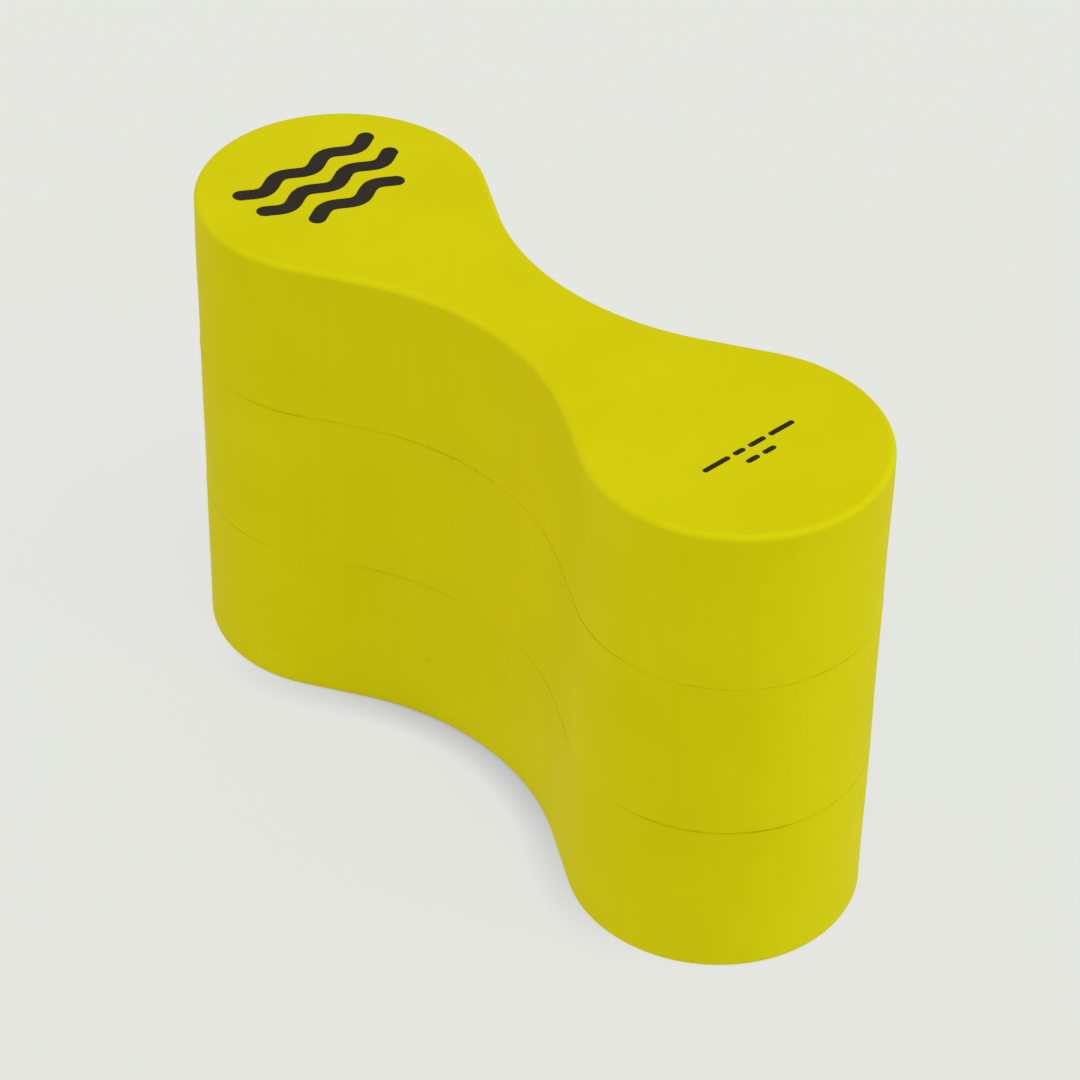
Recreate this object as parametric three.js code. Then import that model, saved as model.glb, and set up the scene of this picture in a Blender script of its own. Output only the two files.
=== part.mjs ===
// A pull buoy: three foam layers glued into one hourglass block, with printed marks on its top.
// Millimetres, +Z up. The block stands on z = 0, centred on the origin, with its length along X.
import * as THREE from "three";

// The block.
const blockLength = 240;
const blockHeight = 150;
const lobeRadius = 41.5;
const waistWidth = 30;
const waistRadius = 81;
const rimRadius = 2;

// The layers and the glue between them.
const layerNames = ["foam_layer_bottom", "foam_layer_middle", "foam_layer_top"];
const glueNames = ["glue_film_lower", "glue_film_upper"];
const glueThickness = 0.375;
const glueInset = 0.5;
const layerHeight = (blockHeight - glueNames.length * glueThickness) / layerNames.length;

// The print.
const inkThickness = 0.125;
const stripeRows = [
  { name: "wave_stripe_upper", waves: 3 },
  { name: "wave_stripe_middle", waves: 3 },
  { name: "wave_stripe_lower", waves: 2 },
];
const stripeX = -83;
const stripePitch = 10.5;
const stripeWidth = 5;
const waveHeight = 1.7;
const waveLength = 17;
const dashWidth = 1.6;
const dashGap = 1.5;
const dashRows = [
  { name: "origin_dash", x: 83, lengths: [9.5, 4, 6, 9] },
  { name: "date_dash", x: 87.5, lengths: [4.5, 4.5] },
];

// How finely curves are cut.
const arcSteps = 18;
const rimSteps = 5;
const stripeSteps = 36;
const endSteps = 7;

// Where the circles of the outline lie, and the angle at which a straight shoulder joins them.
const lobeCentre = blockLength / 2 - lobeRadius;
const waistCentre = waistWidth / 2 + waistRadius;
const shoulderAngle =
  Math.atan2(waistCentre, -lobeCentre) -
  Math.acos((lobeRadius + waistRadius) / Math.hypot(lobeCentre, waistCentre));

const foam = new THREE.MeshStandardMaterial({ color: 0xd2ca14, roughness: 0.72, metalness: 0 });
const glue = new THREE.MeshStandardMaterial({ color: 0xa79c12, roughness: 0.5, metalness: 0 });
const ink = new THREE.MeshStandardMaterial({ color: 0x2c2620, roughness: 0.6, metalness: 0 });

// The plan of the block, moved in from its wall: two lobes, two waists and four straight shoulders.
function hourglass(inset) {
  const lobe = lobeRadius - inset;
  const waist = waistRadius + inset;
  const turn = shoulderAngle;
  const plan = new THREE.Path();
  plan.absarc(lobeCentre, 0, lobe, -turn, turn, false);
  plan.absarc(0, waistCentre, waist, turn - Math.PI, -turn, true);
  plan.absarc(-lobeCentre, 0, lobe, Math.PI - turn, Math.PI + turn, false);
  plan.absarc(0, -waistCentre, waist, turn, Math.PI - turn, true);
  return plan.getPoints(arcSteps);
}

// Rings of the same number of points, from the lowest up, skinned into one closed solid.
function skin(rings) {
  const count = rings[0].points.length;
  const positions = rings.flatMap(({ points, z }) => points.flatMap(({ x, y }) => [x, y, z]));
  const faces = [];
  for (let ring = 0; ring < rings.length - 1; ring++) {
    for (let i = 0; i < count; i++) {
      const low = ring * count + i;
      const lowNext = ring * count + ((i + 1) % count);
      faces.push(low, lowNext, lowNext + count, low, lowNext + count, low + count);
    }
  }
  const lid = (rings.length - 1) * count;
  for (const [a, b, c] of THREE.ShapeUtils.triangulateShape(rings[0].points, [])) {
    faces.push(c, b, a);
    faces.push(lid + a, lid + b, lid + c);
  }
  const geometry = new THREE.BufferGeometry();
  geometry.setAttribute("position", new THREE.Float32BufferAttribute(positions, 3));
  geometry.setIndex(faces);
  geometry.computeVertexNormals();
  return geometry;
}

// A quarter round from the wall in to a face, as insets and distances from that face.
function quarterRound(radius) {
  const steps = Array.from({ length: rimSteps + 1 }, (_, i) => (i / rimSteps) * (Math.PI / 2));
  return steps.map((angle) => ({
    inset: radius * (1 - Math.cos(angle)),
    depth: radius * (1 - Math.sin(angle)),
  }));
}

// One slab of the block between two heights. A rim of radius 0 leaves a square edge.
function slab(low, high, lowRim, highRim) {
  const square = [{ inset: 0, depth: 0 }];
  const under = (lowRim ? quarterRound(lowRim) : square).reverse();
  const over = highRim ? quarterRound(highRim) : square;
  return skin([
    ...under.map(({ inset, depth }) => ({ points: hourglass(inset), z: low + depth })),
    ...over.map(({ inset, depth }) => ({ points: hourglass(inset), z: high - depth })),
  ]);
}

function named(name, geometry, material) {
  const mesh = new THREE.Mesh(geometry, material);
  mesh.name = name;
  return mesh;
}

function foamLayer(name, i) {
  const low = i * (layerHeight + glueThickness);
  const lowRim = i === 0 ? rimRadius : 0;
  const highRim = i === layerNames.length - 1 ? rimRadius : 0;
  return named(name, slab(low, low + layerHeight, lowRim, highRim), foam);
}

// A film held back a little from the wall, so that each joint shows as a fine groove.
function glueFilm(name, i) {
  const low = (i + 1) * layerHeight + i * glueThickness;
  const points = hourglass(glueInset);
  return named(name, skin([{ points, z: low }, { points, z: low + glueThickness }]), glue);
}

// A flat printed shape lying on the top face.
function printed(name, shape) {
  const geometry = new THREE.ExtrudeGeometry(shape, { depth: inkThickness, bevelEnabled: false });
  const mesh = named(name, geometry, ink);
  mesh.position.z = blockHeight;
  return mesh;
}

// A wavy stripe with round ends, running along Y across the lobe at -X. A disc of the stripe's width
// swept along its middle line gives the outline: up one side, round the end, and back down the other.
function waveStripe({ name, waves }, i) {
  const rowX = stripeX + (i - (stripeRows.length - 1) / 2) * stripePitch;
  const radius = stripeWidth / 2;
  const reach = (waves * waveLength) / 2 - radius;
  const rate = (2 * Math.PI) / waveLength;
  const outline = [];
  for (const [way, turn] of [[1, 0], [-1, Math.PI]]) {
    for (let k = 0; k <= stripeSteps + endSteps; k++) {
      const y = way * Math.min(k / stripeSteps, 1) * 2 * reach - way * reach;
      const round = (Math.max(k - stripeSteps, 0) / (endSteps + 1)) * Math.PI;
      const angle = Math.atan(waveHeight * rate * Math.sin(rate * y)) + turn + round;
      const x = rowX + waveHeight * Math.cos(rate * y);
      outline.push(new THREE.Vector2(x + radius * Math.cos(angle), y + radius * Math.sin(angle)));
    }
  }
  return printed(name, new THREE.Shape(outline));
}

// A short bar with round ends, running along Y.
function dash(name, x, low, length) {
  const radius = dashWidth / 2;
  const shape = new THREE.Shape();
  shape.absarc(x, low + radius, radius, Math.PI, 2 * Math.PI, false);
  shape.absarc(x, low + length - radius, radius, 0, Math.PI, false);
  return printed(name, shape);
}

// A row of dashes of different lengths, centred on the lobe at +X.
function dashRow({ name, x, lengths }) {
  const sum = lengths.reduce((total, length) => total + length, 0);
  let low = -(sum + dashGap * (lengths.length - 1)) / 2;
  return lengths.map((length, i) => {
    const mesh = dash(`${name}_${i + 1}`, x, low, length);
    low += length + dashGap;
    return mesh;
  });
}

const pullBuoy = new THREE.Group();
pullBuoy.add(...layerNames.map(foamLayer));
pullBuoy.add(...glueNames.map(glueFilm));
pullBuoy.add(...stripeRows.map(waveStripe));
pullBuoy.add(...dashRows.flatMap(dashRow));

export default pullBuoy;
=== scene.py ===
import math

import bpy
import numpy as np
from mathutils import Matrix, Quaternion, Vector


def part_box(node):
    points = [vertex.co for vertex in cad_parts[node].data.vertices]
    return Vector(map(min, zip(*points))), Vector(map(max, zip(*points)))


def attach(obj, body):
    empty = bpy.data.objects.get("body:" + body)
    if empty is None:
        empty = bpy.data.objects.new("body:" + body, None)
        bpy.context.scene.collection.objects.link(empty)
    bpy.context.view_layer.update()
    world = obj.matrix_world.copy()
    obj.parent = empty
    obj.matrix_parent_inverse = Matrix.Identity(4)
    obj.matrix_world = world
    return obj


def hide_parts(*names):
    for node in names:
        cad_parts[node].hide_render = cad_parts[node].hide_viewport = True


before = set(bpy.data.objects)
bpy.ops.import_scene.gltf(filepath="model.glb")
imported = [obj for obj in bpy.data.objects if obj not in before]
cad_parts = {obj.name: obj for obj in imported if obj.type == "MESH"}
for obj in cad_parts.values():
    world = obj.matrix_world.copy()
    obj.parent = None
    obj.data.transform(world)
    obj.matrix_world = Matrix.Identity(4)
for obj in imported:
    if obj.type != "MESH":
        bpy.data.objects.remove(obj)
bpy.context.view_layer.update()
mm = 0.001

# The camera and the studio light.
view = {
    "azimuth": 46.45,
    "elevation": 38.22,
    "roll": 1.15,
    "distance": 1072.4 * mm,
    "target": Vector((6.9, -1.1, 75)) * mm,
    "lens": 127.36,
}


def aimCamera():
    turn, tilt = math.radians(view["azimuth"]), math.radians(view["elevation"])
    back = Vector((math.sin(turn) * math.cos(tilt), -math.cos(turn) * math.cos(tilt), math.sin(tilt)))
    camera = bpy.data.objects.new("camera", bpy.data.cameras.new("camera"))
    camera.data.lens = view["lens"]
    camera.data.sensor_width = 36
    camera.data.clip_start = 0.05
    camera.location = view["target"] + back * view["distance"]
    camera.rotation_mode = "QUATERNION"
    level = (-back).to_track_quat("-Z", "Y")
    camera.rotation_quaternion = Quaternion(back, math.radians(view["roll"])) @ level
    bpy.context.scene.collection.objects.link(camera)
    bpy.context.scene.camera = camera


# Each sun's colour also carries its strength.
studio = {
    "wall": (1.0, 1.0, 0.98),
    "ambient": 0.6,
    "floor": (0.10, 0.10, 0.05),
    "floorGlow": (0.685, 0.694, 0.703),
    # The colour, reach, lean and extent of the contact shadow painted into the floor's glow.
    "contactShade": (0.36, 0.365, 0.43),
    "contactReach": 10 * mm,
    "contactLean": (0, 0.45, 0.9),
    "contactEnd": 91 * mm,
    "contactSpan": 65 * mm,
    "floorSide": 30.0,
    "spread": 40,
    "suns": [
        {"name": "top_sun", "turn": 0, "height": 60, "colour": (0.61, 0.80, 0.70)},
        {"name": "right_sun", "turn": 45, "height": 25, "colour": (0.63, 0.56, 0.56)},
        {"name": "left_sun", "turn": 225, "height": 25, "colour": (0.44, 0.36, 0.36)},
        {"name": "front_sun", "turn": 300, "height": 60, "colour": (0.31, 0.20, 0.22)},
    ],
}


def lightStudio():
    scene = bpy.context.scene
    scene.view_settings.view_transform = "Standard"
    world = bpy.data.worlds.new("studio_wall")
    world.use_nodes = True
    backdrop = world.node_tree.nodes["Background"]
    backdrop.inputs["Color"].default_value = (*studio["wall"], 1)
    backdrop.inputs["Strength"].default_value = studio["ambient"]
    scene.world = world
    for sun in studio["suns"]:
        turn, height = math.radians(sun["turn"]), math.radians(sun["height"])
        flat = math.cos(height)
        towards = Vector((math.cos(turn) * flat, math.sin(turn) * flat, math.sin(height)))
        lamp = bpy.data.lights.new(sun["name"], "SUN")
        lamp.energy = 1
        lamp.color = sun["colour"]
        lamp.angle = math.radians(studio["spread"])
        holder = bpy.data.objects.new(sun["name"], lamp)
        holder.rotation_mode = "QUATERNION"
        holder.rotation_quaternion = (-towards).to_track_quat("-Z", "Y")
        scene.collection.objects.link(holder)


# A node's output, so that arithmetic on it adds Math nodes.
class Wire:
    def __init__(self, paint, socket):
        self.paint = paint
        self.socket = socket

    def maths(self, operation, first, second=None):
        inputs = {0: first} if second is None else {0: first, 1: second}
        return self.paint.add("ShaderNodeMath", {"operation": operation}, inputs)

    def __add__(self, other):
        return self.maths("ADD", self, other)

    def __radd__(self, other):
        return self.maths("ADD", other, self)

    def __sub__(self, other):
        return self.maths("SUBTRACT", self, other)

    def __rsub__(self, other):
        return self.maths("SUBTRACT", other, self)

    def __mul__(self, other):
        return self.maths("MULTIPLY", self, other)

    def __rmul__(self, other):
        return self.maths("MULTIPLY", other, self)

    def __lt__(self, other):
        return self.maths("LESS_THAN", self, other)

    def __gt__(self, other):
        return self.maths("GREATER_THAN", self, other)

    def __abs__(self):
        return self.maths("ABSOLUTE", self)

    def clamped(self):
        return self.paint.add("ShaderNodeClamp", {}, {"Value": self})


# One material, and the one way its nodes are made.
class Paint:
    def __init__(self, name, **fixed):
        self.material = bpy.data.materials.new(name)
        self.material.use_nodes = True
        self.tree = self.material.node_tree
        self.shader = self.tree.nodes["Principled BSDF"]
        for socket, value in fixed.items():
            self.shader.inputs[socket.replace("_", " ")].default_value = value

    def add(self, kind, settings, inputs, output=0):
        node = self.tree.nodes.new(kind)
        for setting, value in settings.items():
            if setting == "stops":
                self.setStops(node.color_ramp, value)
            else:
                setattr(node, setting, value)
        for socket, value in inputs.items():
            self.feed(node.inputs[socket], value)
        return Wire(self, node.outputs[output])

    def feed(self, socket, value):
        if isinstance(value, Wire):
            self.tree.links.new(value.socket, socket)
        else:
            socket.default_value = value

    def setStops(self, ramp, stops):
        while len(ramp.elements) > 1:
            ramp.elements.remove(ramp.elements[-1])
        for place, colour in stops:
            stop = ramp.elements[0] if place == stops[0][0] else ramp.elements.new(place)
            stop.position = place
            stop.color = colour

    def surface(self, **inputs):
        for socket, value in inputs.items():
            self.feed(self.shader.inputs[socket.replace("_", " ")], value)

    def place(self):
        return self.add("ShaderNodeTexCoord", {}, {}, "Object")

    def stretched(self, where, scale):
        return self.add("ShaderNodeVectorMath", {"operation": "MULTIPLY"}, {0: where, 1: scale})

    def cloud(self, where, size, detail, roughness):
        inputs = {"Vector": where, "Scale": 1 / size, "Detail": detail, "Roughness": roughness}
        return self.add("ShaderNodeTexNoise", {}, inputs, "Fac")

    def cells(self, where, size, output="Distance"):
        return self.add("ShaderNodeTexVoronoi", {}, {"Vector": where, "Scale": 1 / size}, output)

    def ramp(self, value, stops):
        return self.add("ShaderNodeValToRGB", {"stops": stops}, {"Fac": value}, "Color")

    def blend(self, share, first, second):
        return self.add("ShaderNodeMix", {"data_type": "RGBA"}, {0: share, 6: first, 7: second}, 2)

    def marked(self, name):
        return self.add("ShaderNodeAttribute", {"attribute_name": name}, {}, "Fac")

    def upright(self):
        normal = self.add("ShaderNodeNewGeometry", {}, {}, "Normal")
        height = self.add("ShaderNodeSeparateXYZ", {}, {"Vector": normal}, "Z")
        return 1 - abs(height)

    def bump(self, height, depth, strength=1.0, under=None):
        inputs = {"Height": height, "Distance": depth, "Strength": strength}
        if under is not None:
            inputs["Normal"] = under
        return self.add("ShaderNodeBump", {}, inputs, "Normal")


# The plan of the block: two lobes, two waists and the straight shoulders between them.
low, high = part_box("foam_layer_bottom")
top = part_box("foam_layer_top")[1].z
blockLength = high.x - low.x
block = {
    "lobeRadius": 41.5 * mm,
    "waistRadius": 81 * mm,
    "waistWidth": 30 * mm,
    "rim": 2 * mm,
    "spacing": 0.8 * mm,
}
lobeCentre = blockLength / 2 - block["lobeRadius"]


def quarterPlan():
    lobe, waist = block["lobeRadius"], block["waistRadius"]
    waistCentre = block["waistWidth"] / 2 + waist
    reach = math.hypot(lobeCentre, waistCentre)
    turn = math.atan2(waistCentre, -lobeCentre) - math.acos((lobe + waist) / reach)
    shoulder = math.sqrt(reach ** 2 - (lobe + waist) ** 2)
    runs = [lobe * turn, shoulder, waist * (turn - math.pi / 2)]
    steps = round(sum(runs) / block["spacing"])
    along = np.linspace(0, sum(runs), steps + 1)
    onLobe = np.clip(along, 0, runs[0]) / lobe
    onShoulder = np.clip(along - runs[0], 0, shoulder)
    onWaist = np.clip(along - runs[0] - shoulder, 0, runs[2]) / waist
    facing = onLobe - onWaist
    normal = np.c_[np.cos(facing), np.sin(facing)]
    down = np.array([-np.sin(turn), np.cos(turn)])
    points = np.array([lobeCentre, 0]) + lobe * np.c_[np.cos(onLobe), np.sin(onLobe)]
    points = points + onShoulder[:, None] * down
    inWaist = onWaist > 0
    points[inWaist] = np.array([0, waistCentre]) - waist * normal[inWaist]
    return points, normal, along


def wholePlan():
    points, normal, along = quarterPlan()
    halfPoints = np.vstack([points[:-1], points[::-1] * [-1, 1]])
    halfNormal = np.vstack([normal[:-1], normal[::-1] * [-1, 1]])
    points = np.vstack([halfPoints, halfPoints[-2:0:-1] * [1, -1]])
    normal = np.vstack([halfNormal, halfNormal[-2:0:-1] * [1, -1]])
    step = along[1]
    return points, normal, np.arange(len(points)) * step


planPoints, planNormal, planAlong = wholePlan()
planRun = len(planPoints) * planAlong[1]


# Moves plan points a share of the way in to the line between the middles of the lobes.
def drawnIn(points, share):
    line = np.c_[points[:, 0] * lobeCentre / (blockLength / 2), np.zeros(len(points))]
    return points * (1 - share) + line * share


# Smooth seeded waves: a sum of sines of chosen wavelengths, about 1 high at most.
def ripples(seed, count, shortest, longest, loop=None):
    draw = np.random.default_rng(seed)
    wavelengths = np.exp(draw.uniform(math.log(shortest), math.log(longest), count))
    rates = 2 * math.pi / wavelengths
    if loop:
        rates = 2 * math.pi / loop * np.maximum(1, np.round(loop / wavelengths))
    headings = draw.normal(size=(count, 3))
    headings /= np.linalg.norm(headings, axis=1)[:, None]
    phases = draw.uniform(0, 2 * math.pi, count)
    size = 1 / math.sqrt(count / 2) / 2

    def at(where):
        where = np.asarray(where)
        total = np.zeros(where.shape[0])
        for rate, heading, phase in zip(rates, headings, phases):
            run = where if where.ndim == 1 else where @ heading[: where.shape[1]]
            total += np.sin(rate * run + phase)
        return total * size

    return at


# A closed body from rings of equal count, whose first and last rings close on a middle line.
def closedBody(name, rings, lowLine, highLine):
    count = len(rings[0])
    half = count // 2
    fold = np.minimum(np.arange(count), count - np.arange(count))
    nextFold = np.roll(fold, -1)
    points = np.vstack([lowLine, *rings, highLine])
    start = half + 1
    here = np.arange(count)
    after = (here + 1) % count
    faces = [np.c_[fold, nextFold, start + after, start + here]]
    for ring in range(len(rings) - 1):
        base = start + ring * count
        faces.append(np.c_[base + here, base + after, base + count + after, base + count + here])
    base = start + (len(rings) - 1) * count
    lid = base + count
    faces.append(np.c_[base + here, base + after, lid + nextFold, lid + fold])
    mesh = bpy.data.meshes.new(name)
    mesh.from_pydata(points.tolist(), [], np.vstack(faces).tolist())
    mesh.polygons.foreach_set("use_smooth", np.ones(len(mesh.polygons), bool))
    mesh.update()
    body = bpy.data.objects.new(name, mesh)
    bpy.context.scene.collection.objects.link(body)
    return body


def mark(body, name, values):
    layer = body.data.attributes.new(name, "FLOAT", "POINT")
    layer.data.foreach_set("value", np.asarray(values, np.float32))


# The foam layers. Their edges at the joints are almost sharp, and the outer rims are round.
foam = {
    "sway": 0.14 * mm,
    "back": 0.10 * mm,
    "layerStep": 0.005 * mm,
    "bladeMarks": 0.006 * mm,
    "faceSway": 0.12 * mm,
    "edgeRound": 0.020 * mm,
    "edgeRoundSpread": 0.02 * mm,
    "edgeRoundLeast": 0.008 * mm,
    "guard": 0.002,
    "rimSteps": 12,
    "edgeSteps": 4,
    "faceSteps": 24,
    "faceEase": 1.15,
    "chosenPits": [
        ((-21.3, -17.8, 22.2), 0.8, 0.6),
        ((77.0, -41.4, 138.8), 0.6, 0.2),
        ((13.5, -16.1, 74.4), 0.6, 0.2),
    ],
    "pits": 26,
    "pitHeights": (6, 144),
    "pitRadius": (0.45 * mm, 1.1 * mm),
    "pitDepth": (0.10 * mm, 0.38 * mm),
}
sway = ripples(11, 14, 26 * mm, 110 * mm)
faceSway = ripples(12, 12, 30 * mm, 120 * mm)
bladeMarks = ripples(13, 26, 2.2 * mm, 9 * mm, planRun)


# How far the wall lies out from the plan: the whole block's slow sway, always a little inside it.
def wallShift(points):
    return foam["sway"] * sway(points) - foam["back"]


def faceHeight(x, y):
    return foam["faceSway"] * (faceSway(np.c_[x, y]) - 1)


# Small hollows in the wall, as a middle, a radius and a depth in millimetres.
def drawPits():
    draw = np.random.default_rng(29)
    spots = list(foam["chosenPits"])
    for _ in range(foam["pits"]):
        k = draw.integers(len(planPoints))
        spot = (*(planPoints[k] / mm), draw.uniform(*foam["pitHeights"]))
        spots.append((spot, draw.uniform(*foam["pitRadius"]) / mm, draw.uniform(*foam["pitDepth"]) / mm))
    return spots


pits = drawPits()


def pitting(points):
    sunk = np.zeros(len(points))
    for spot, radius, depth in pits:
        away = np.linalg.norm(points / mm - np.array(spot), axis=1) / radius
        sunk += depth * mm * np.exp(-away ** 4)
    return sunk


def foamLayer(name, seed):
    low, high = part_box(name)
    lowest, highest = name == "foam_layer_bottom", name == "foam_layer_top"
    count = len(planPoints)
    step = foam["layerStep"] * ripples(seed, 6, 50 * mm, 200 * mm, planRun)(planAlong)
    uneven = ripples(seed + 1, 18, 6 * mm, 60 * mm, planRun)(planAlong)
    edge = np.maximum(foam["edgeRound"] + foam["edgeRoundSpread"] * uneven, foam["edgeRoundLeast"])
    lowRound = np.full(count, block["rim"]) if lowest else edge
    highRound = np.full(count, block["rim"]) if highest else edge
    lowSteps = foam["rimSteps"] if lowest else foam["edgeSteps"]
    highSteps = foam["rimSteps"] if highest else foam["edgeSteps"]
    rings, outward = [], []

    def addRing(inset, height, lean, share=0.0):
        flat = planPoints - planNormal * inset[:, None]
        rings.append(np.c_[drawnIn(flat, share), height])
        outward.append(np.c_[planNormal * math.cos(lean), np.full(count, math.sin(lean))])

    shares = np.linspace(0, 1, foam["faceSteps"] + 1)[1:-1] ** foam["faceEase"]
    for share in shares[::-1]:
        addRing(lowRound, np.full(count, low.z), -math.pi / 2, share)
    for lean in np.linspace(math.pi / 2, 0, lowSteps + 1):
        addRing(lowRound * (1 - math.cos(lean)), low.z + lowRound * (1 - math.sin(lean)), -lean)
    rows = round((high.z - low.z - block["rim"]) / block["spacing"])
    for share in [foam["guard"], *(np.arange(1, rows) / rows), 1 - foam["guard"]]:
        wallLow, wallHigh = low.z + lowRound, high.z - highRound
        addRing(np.zeros(count), wallLow + (wallHigh - wallLow) * share, 0)
    for lean in np.linspace(0, math.pi / 2, highSteps + 1):
        addRing(highRound * (1 - math.cos(lean)), high.z - highRound * (1 - math.sin(lean)), lean)
    for share in shares:
        addRing(highRound, np.full(count, high.z), math.pi / 2, share)

    points, facing = np.vstack(rings), np.vstack(outward)
    wall = 1 - facing[:, 2] ** 2
    shift = wallShift(points) + np.tile(step + foam["bladeMarks"] * bladeMarks(planAlong), len(rings))
    shift = shift * wall - pitting(points)
    points[:, :2] += facing[:, :2] * shift[:, None]
    if highest:
        up = np.maximum(facing[:, 2], 0) ** 2
        points[:, 2] += up * faceHeight(points[:, 0], points[:, 1])
    rings = np.split(points, len(rings))
    lowLine = rings[0][: count // 2 + 1] * [1, 0, 1]
    highLine = rings[-1][: count // 2 + 1] * [1, 0, 1]
    if highest:
        highLine[:, 2] = high.z + faceHeight(highLine[:, 0], highLine[:, 1])
    body = closedBody(name.replace("foam_layer", "foam_slab"), rings, lowLine, highLine)
    # Painted highlight: the rounded outer rims of the top and bottom faces are marked, palest halfway
    # round the rounding, where the foam colour is lightened.
    onRim = (facing[:, 2] > 0) & highest | (facing[:, 2] < 0) & lowest
    rubbed = np.sin(2 * np.arcsin(np.clip(np.abs(facing[:, 2]), 0, 1))) * onRim
    mark(body, "rubbed", np.r_[np.zeros(len(lowLine)), rubbed, np.zeros(len(highLine))])
    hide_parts(name)
    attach(body, "root")
    return body


foamPaint = {
    "patchSize": 34 * mm,
    "grainSize": 0.55 * mm,
    "cellSize": 0.42 * mm,
    "streakSize": 1.9 * mm,
    "streakStretch": (1, 1, 0.02),
    "speckSpacing": 7.5 * mm,
    "colour": (0.640, 0.590, 0.001, 1),
    "pale": (0.670, 0.620, 0.003, 1),
    "deep": (0.600, 0.545, 0.000, 1),
    "speck": (0.23, 0.19, 0.01, 1),
    # The pale yellow of the painted rim highlight.
    "rubbed": (0.745, 0.695, 0.006, 1),
}


def paintFoam():
    paint = Paint("yellow_foam", IOR=1.42, Specular_IOR_Level=0.035)
    where = paint.place()
    wall = paint.upright()
    patches = paint.cloud(where, foamPaint["patchSize"], 3, 0.55)
    grain = paint.cloud(where, foamPaint["grainSize"], 3, 0.6)
    cell = paint.cells(where, foamPaint["cellSize"])
    upright = paint.stretched(where, foamPaint["streakStretch"])
    streaks = paint.cloud(upright, foamPaint["streakSize"], 2, 0.5)
    share = paint.ramp(patches, [(0.34, (0, 0, 0, 1)), (0.68, (1, 1, 1, 1))])
    tone = paint.blend(share, foamPaint["colour"], foamPaint["pale"])
    tone = paint.blend((streaks - 0.35) * wall * 0.42, tone, foamPaint["deep"])
    tone = paint.blend((grain - 0.45) * 0.5, tone, foamPaint["deep"])
    # Painted highlight: the foam colour is lightened along the rounded rims.
    tone = paint.blend(paint.marked("rubbed") * 0.3, tone, foamPaint["rubbed"])
    pick = paint.cells(where, foamPaint["speckSpacing"], "Color")
    pick = paint.add("ShaderNodeSeparateColor", {}, {"Color": pick}, "Red")
    speck = (paint.cells(where, foamPaint["speckSpacing"]) < 0.028) * (pick > 0.72)
    tone = paint.blend(speck * 0.55, tone, foamPaint["speck"])
    rough = 0.60 + (patches - 0.5) * 0.10 + (grain - 0.5) * 0.12
    fine = paint.bump(cell * 0.6 + grain * 0.8, 0.035 * mm, 0.7)
    blade = paint.bump(streaks * wall - speck * 3, 0.022 * mm, 0.6, fine)
    paint.surface(Base_Color=tone, Roughness=rough, Normal=blade)
    return paint.material


# The glue films in the joints.
glue = {
    "inset": -0.005 * mm,
    "spread": 0.012 * mm,
    "recess": 0.002 * mm,
    "faceSteps": 5,
}


def glueFilm(name, seed):
    low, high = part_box(name)
    uneven = ripples(seed, 26, 4 * mm, 70 * mm, planRun)(planAlong)
    inset = np.maximum(glue["inset"] + glue["spread"] * uneven, 0)
    shares = [k / glue["faceSteps"] for k in range(1, glue["faceSteps"])]
    thickness = high.z - low.z
    profile = [(share, low.z, glue["recess"]) for share in shares[::-1]]
    profile += [(0, low.z, glue["recess"]), (0, low.z + thickness / 4, 0), (0, low.z + thickness / 2, 0)]
    profile += [(0, high.z - thickness / 4, 0), (0, high.z, glue["recess"])]
    profile += [(share, high.z, glue["recess"]) for share in shares]
    rings = []
    for share, height, back in profile:
        heights = np.full(len(planPoints), height)
        shift = wallShift(np.c_[planPoints, heights]) - inset - back
        flat = planPoints + planNormal * shift[:, None]
        rings.append(np.c_[drawnIn(flat, share), heights])
    lowLine, highLine = [ring[: len(ring) // 2 + 1] * [1, 0, 1] for ring in (rings[0], rings[-1])]
    body = closedBody(name.replace("glue_film", "glue_line"), rings, lowLine, highLine)
    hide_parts(name)
    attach(body, "root")
    return body


gluePaint = {"colour": (0.665, 0.614, 0.001, 1), "thick": (0.630, 0.577, 0.001, 1)}


def paintGlue():
    paint = Paint("dried_adhesive", IOR=1.45, Specular_IOR_Level=0.05)
    where = paint.place()
    blobs = paint.cloud(where, 14 * mm, 4, 0.6)
    share = paint.ramp(blobs, [(0.48, (0, 0, 0, 1)), (0.66, (1, 1, 1, 1))])
    tone = paint.blend(share, gluePaint["colour"], gluePaint["thick"])
    paint.surface(Base_Color=tone, Roughness=0.30 + blobs * 0.25, Normal=paint.bump(blobs, 0.05 * mm))
    return paint.material


# The print on the top face.
ink = {
    "thickness": 0.07 * mm,
    "sunk": 0.05 * mm,
    "stripeWidth": 5 * mm,
    "waveHeight": 1.7 * mm,
    "waveLength": 17 * mm,
    "stripeSteps": 120,
    "dashSteps": 16,
    "endSteps": 14,
    "fray": 0.035 * mm,
    "frayFrom": 0.3 * mm,
    "profile": [(0.5, -1), (0.05, -1), (0, 0), (0.02, 0.7), (0.07, 1), (0.3, 1), (0.6, 1)],
}


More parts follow.
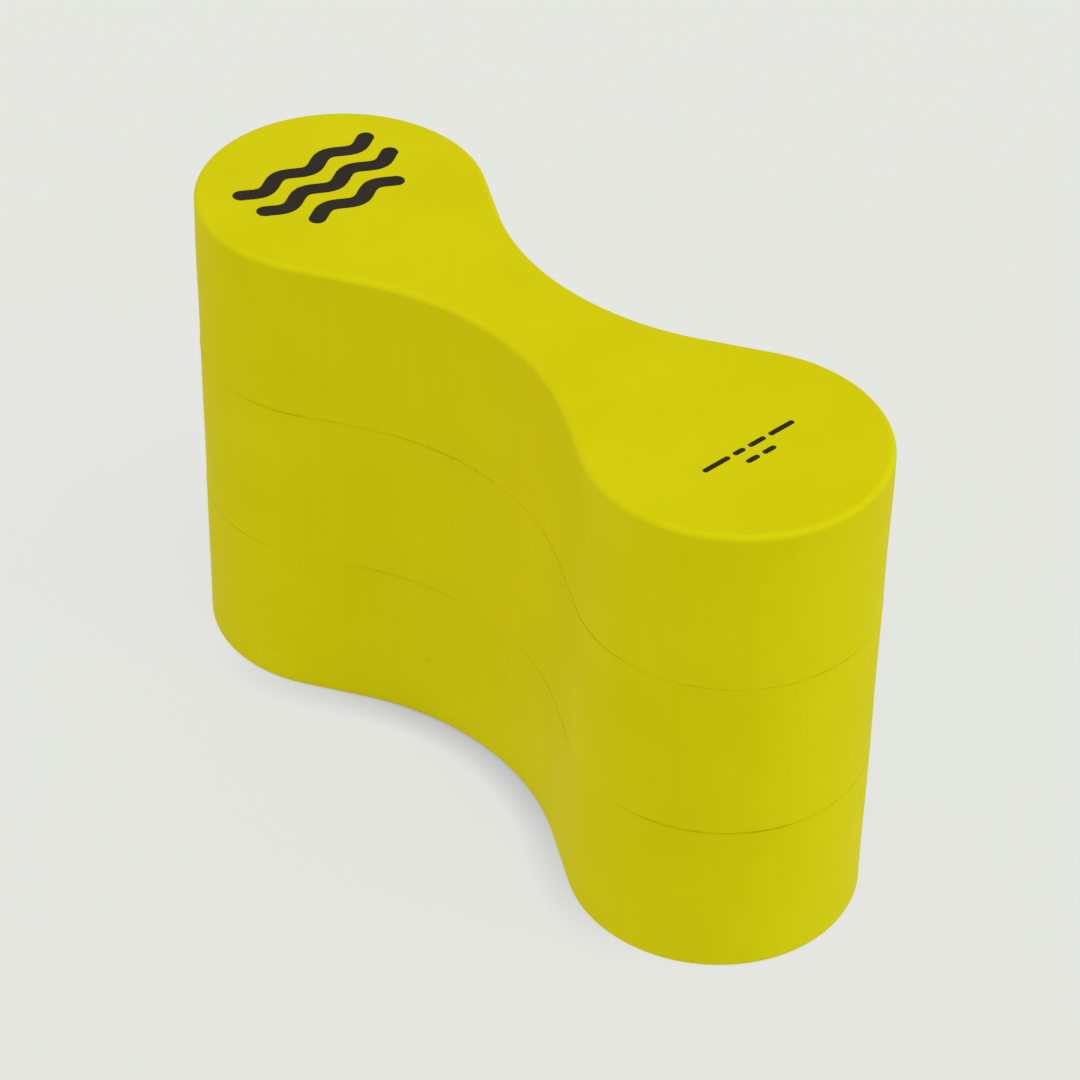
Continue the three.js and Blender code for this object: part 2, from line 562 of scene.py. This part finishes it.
# Ink lying on the foam: a middle line with a half width at each of its points. The profile gives how far
# in each ring lies, and how high, where 1 is the ink's full thickness and -1 how deep it is sunk.
def inkFilm(name, line, half, seed):
    run = np.gradient(line, axis=0)
    across = np.c_[run[:, 1], -run[:, 0]] / np.linalg.norm(run, axis=1)[:, None]
    fray = ink["fray"] * ripples(seed, 30, 0.5 * mm, 3 * mm)(line[:, 1])
    half = np.maximum(half + fray * (half > ink["frayFrom"]), 0)[:, None]
    rim = np.vstack([line + half * across, (line - half * across)[-2:0:-1]])
    mirrorLine = np.vstack([line, line[-2:0:-1]])
    rings = []
    for share, height in ink["profile"]:
        flat = rim * (1 - share) + mirrorLine * share
        ground = top + faceHeight(flat[:, 0], flat[:, 1])
        lift = ink["thickness"] * height if height >= 0 else ink["sunk"] * height
        rings.append(np.c_[flat, ground + lift])
    ground = top + faceHeight(line[:, 0], line[:, 1])
    lowLine, highLine = np.c_[line, ground - ink["sunk"]], np.c_[line, ground + ink["thickness"]]
    body = closedBody(name + "_ink", rings, lowLine, highLine)
    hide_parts(name)
    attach(body, "root")
    return body


# A bar with round ends: its middle line carried straight on by the radius, and half its width there.
def roundEnded(line, radius):
    turn = np.linspace(0, math.pi / 2, ink["endSteps"] + 1)[1:]
    starting, ending = line[0] - line[1], line[-1] - line[-2]
    before = line[0] + radius * np.sin(turn[::-1, None]) * starting / np.linalg.norm(starting)
    after = line[-1] + radius * np.sin(turn[:, None]) * ending / np.linalg.norm(ending)
    half = np.r_[radius * np.cos(turn[::-1]), np.full(len(line), radius), radius * np.cos(turn)]
    return np.vstack([before, line, after]), half


def waveStripe(name, seed):
    low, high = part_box(name)
    radius = ink["stripeWidth"] / 2
    rate = 2 * math.pi / ink["waveLength"]
    y = np.linspace(low.y + radius, high.y - radius, ink["stripeSteps"])
    x = (low.x + high.x) / 2 + ink["waveHeight"] * np.cos(rate * y)
    return inkFilm(name, *roundEnded(np.c_[x, y], radius), seed)


def printDash(name, seed):
    low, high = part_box(name)
    radius = (high.x - low.x) / 2
    y = np.linspace(low.y + radius, high.y - radius, ink["dashSteps"])
    x = np.full(len(y), (low.x + high.x) / 2)
    return inkFilm(name, *roundEnded(np.c_[x, y], radius), seed)


inkPaint = {"colour": (0.016, 0.011, 0.008, 1), "worn": (0.040, 0.032, 0.012, 1)}


def paintInk():
    paint = Paint("black_ink", IOR=1.45, Specular_IOR_Level=0.15)
    where = paint.place()
    grain = paint.cloud(where, 0.5 * mm, 3, 0.6)
    wear = paint.cloud(where, 9 * mm, 4, 0.6)
    tone = paint.blend((wear * 0.6 + grain * 0.6 - 0.35).clamped(), inkPaint["colour"], inkPaint["worn"])
    paint.surface(Base_Color=tone, Roughness=0.50 + grain * 0.15, Normal=paint.bump(grain, 0.03 * mm, 0.6))
    return paint.material


def layFloor():
    side = studio["floorSide"]
    mesh = bpy.data.meshes.new("floor")
    corners = [(-side, -side, 0), (side, -side, 0), (side, side, 0), (-side, side, 0)]
    mesh.from_pydata(corners, [], [(0, 1, 2, 3)])
    floor = bpy.data.objects.new("floor", mesh)
    bpy.context.scene.collection.objects.link(floor)
    paint = Paint("pale_floor", Roughness=0.9, Specular_IOR_Level=0.1, Emission_Strength=1)
    # Painted contact shadow: the floor's glow is darkened towards contactShade where ambient occlusion,
    # leaning towards +Y, finds the block close by, and only near the waist in x.
    lean = paint.add("ShaderNodeCombineXYZ", {}, dict(enumerate(studio["contactLean"])))
    reach = {"Distance": studio["contactReach"], "Normal": lean}
    shut = 1 - paint.add("ShaderNodeAmbientOcclusion", {"samples": 8}, reach, "AO")
    x = paint.add("ShaderNodeSeparateXYZ", {}, {"Vector": paint.place()}, "X")
    near = ((studio["contactEnd"] - abs(x)) * (1 / studio["contactSpan"])).clamped()
    glow = paint.blend(shut * near, (*studio["floorGlow"], 1), (*studio["contactShade"], 1))
    paint.surface(Base_Color=(*studio["floor"], 1), Emission_Color=glow)
    mesh.materials.append(paint.material)


aimCamera()
lightStudio()
layFloor()
print("studio ready")

yellow = paintFoam()
for seed, name in enumerate(["foam_layer_bottom", "foam_layer_middle", "foam_layer_top"]):
    foamLayer(name, 40 + 10 * seed).data.materials.append(yellow)
    print(name, "shaped")

amber = paintGlue()
for seed, name in enumerate(["glue_film_lower", "glue_film_upper"]):
    glueFilm(name, 80 + seed).data.materials.append(amber)
print("glue joints laid")

black = paintInk()
inkNodes = sorted(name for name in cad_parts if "stripe" in name or "dash" in name)
for seed, name in enumerate(inkNodes):
    make = waveStripe if "stripe" in name else printDash
    make(name, 100 + seed).data.materials.append(black)
print(len(inkNodes), "ink shapes printed")
